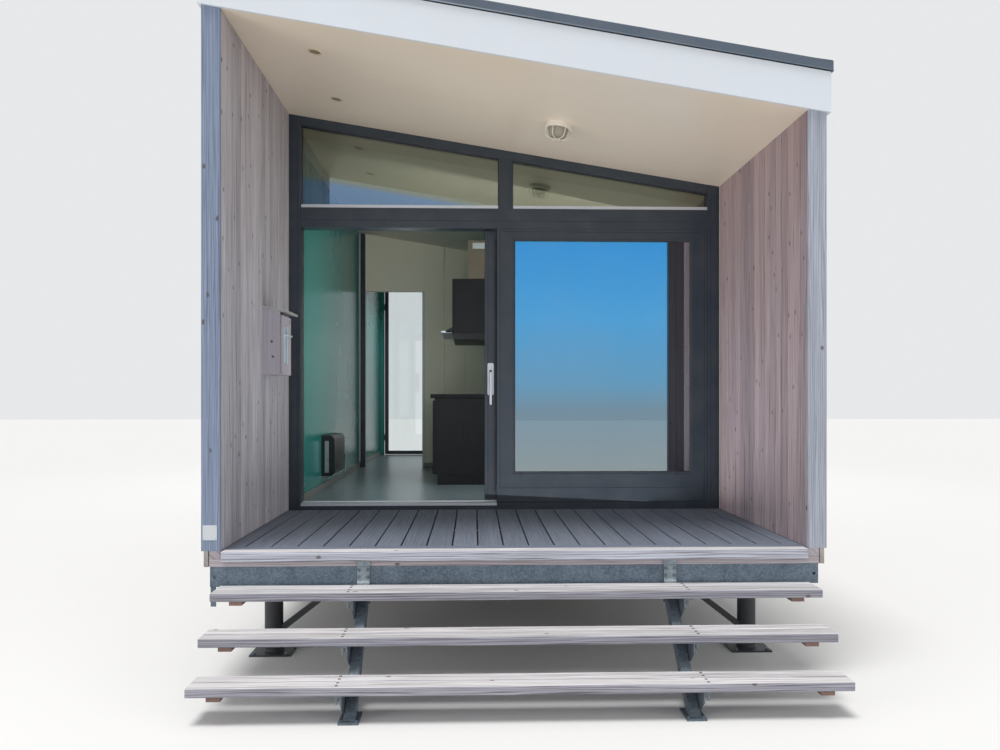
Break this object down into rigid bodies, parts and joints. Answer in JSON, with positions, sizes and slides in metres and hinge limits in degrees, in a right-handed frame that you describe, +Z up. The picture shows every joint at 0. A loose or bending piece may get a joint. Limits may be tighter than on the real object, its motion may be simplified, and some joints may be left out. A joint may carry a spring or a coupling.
{
  "type": "beach hut",
  "caption": "Timber-clad beach hut with a monopitch roof, open veranda between wing walls, glazed front with a sliding door, steps and a steel chassis on legs.",
  "frame": {"origin": "on the ground, at the middle of the whole hut with its steps, seen from above", "axes": "+X to the right seen from the steps, +Y from the steps into the hut, +Z up"},
  "size_m": [3.56, 8.695, 4.0588],
  "materials": {
    "galvanised_steel": "weathered hot-dip galvanised",
    "leg_steel": "dark matt paint",
    "larch_grey": "weathered silver-grey larch boards",
    "larch_brown": "larch turning grey, still pinkish brown",
    "deck_larch": "weathered grey deck boards",
    "soffit_cream": "cream painted boards",
    "fascia_white": "white satin board",
    "trim_slate": "slate blue coated metal",
    "roof_membrane": "dark roofing membrane",
    "frame_anthracite": "anthracite powder coat",
    "window_glass": "clear double glazing",
    "handle_steel": "satin stainless steel",
    "floor_dark": "dark grey floor covering",
    "lining_teal": "glossy teal wall panel",
    "wall_cream": "cream painted panels",
    "kitchen_wood": "dark brown veneer",
    "heater_black": "black and silver enamel",
    "lamp_white": "white enamel",
    "lamp_glass": "clear pressed glass"
  },
  "bodies": {
    "hut": {"chassis_front_beam": "galvanised_steel", "chassis_rear_beam": "galvanised_steel", "chassis_rails": "galvanised_steel", "chassis_cross_members": "galvanised_steel", "trestle_front": "leg_steel", "trestle_middle": "leg_steel", "trestle_rear": "leg_steel", "front_plinth_beam": "larch_brown", "deck_edge_board": "deck_larch", "side_skirts": "larch_grey", "veranda_joists": "larch_brown", "veranda_deck": "deck_larch", "floor_platform": "larch_brown", "floor_finish": "floor_dark", "stair_tread_upper": "deck_larch", "stair_tread_middle": "deck_larch", "stair_tread_lower": "deck_larch", "stair_stringer_left": "galvanised_steel", "stair_stringer_right": "galvanised_steel", "wing_wall_left": "larch_grey", "wing_wall_right": "larch_grey", "left_wall": "larch_grey", "right_wall": "larch_grey", "rear_wall": "larch_grey", "rear_wall_over_door": "larch_grey", "veranda_soffit": "soffit_cream", "interior_ceiling": "soffit_cream", "roof_panel": "roof_membrane", "fascia_boards": "fascia_white", "roof_edge_trim": "trim_slate", "frame_jambs": "frame_anthracite", "frame_head": "frame_anthracite", "frame_transom": "frame_anthracite", "frame_mullion": "frame_anthracite", "door_sill": "frame_anthracite", "transom_glass": "window_glass", "fixed_pane_frame": "frame_anthracite", "fixed_pane_glass": "window_glass", "rear_door_frame": "frame_anthracite", "wall_cupboard": "larch_grey", "bulkhead_lamp": "lamp_white", "bulkhead_lamp_glass": "lamp_glass", "soffit_spots": "lamp_white", "left_wall_lining": "lining_teal", "partition": "wall_cream", "partition_post": "wall_cream", "partition_over_passage": "wall_cream", "kitchen_wall": "wall_cream", "kitchen_base": "kitchen_wood", "wall_cabinet": "kitchen_wood", "cooker_hood": "handle_steel", "wall_heater": "heater_black"},
    "sliding_leaf": {"sliding_door": "frame_anthracite", "sliding_door_glass": "window_glass", "sliding_door_handle": "handle_steel"},
    "rear_leaf": {"rear_door": "frame_anthracite", "rear_door_glass": "window_glass", "rear_door_handles": "handle_steel"},
    "cupboard_leaf": {"cupboard_door": "larch_grey", "cupboard_lock": "handle_steel"}
  },
  "joints": [
    {"name": "front_door_slide", "type": "slide", "parent": "hut", "child": "sliding_leaf", "axis": [1, 0, 0], "range_m": [-1.39, 0]},
    {"name": "rear_door_hinge", "type": "hinge", "parent": "hut", "child": "rear_leaf", "pos_m": [-1.571, 4.3235, 2], "axis": [0, 0, 1], "range_deg": [0, 100]},
    {"name": "cupboard_door_hinge", "type": "hinge", "parent": "hut", "child": "cupboard_leaf", "pos_m": [-1.507, -2.5595, 1.948], "axis": [0, 0, 1], "range_deg": [0, 105]}
  ]
}
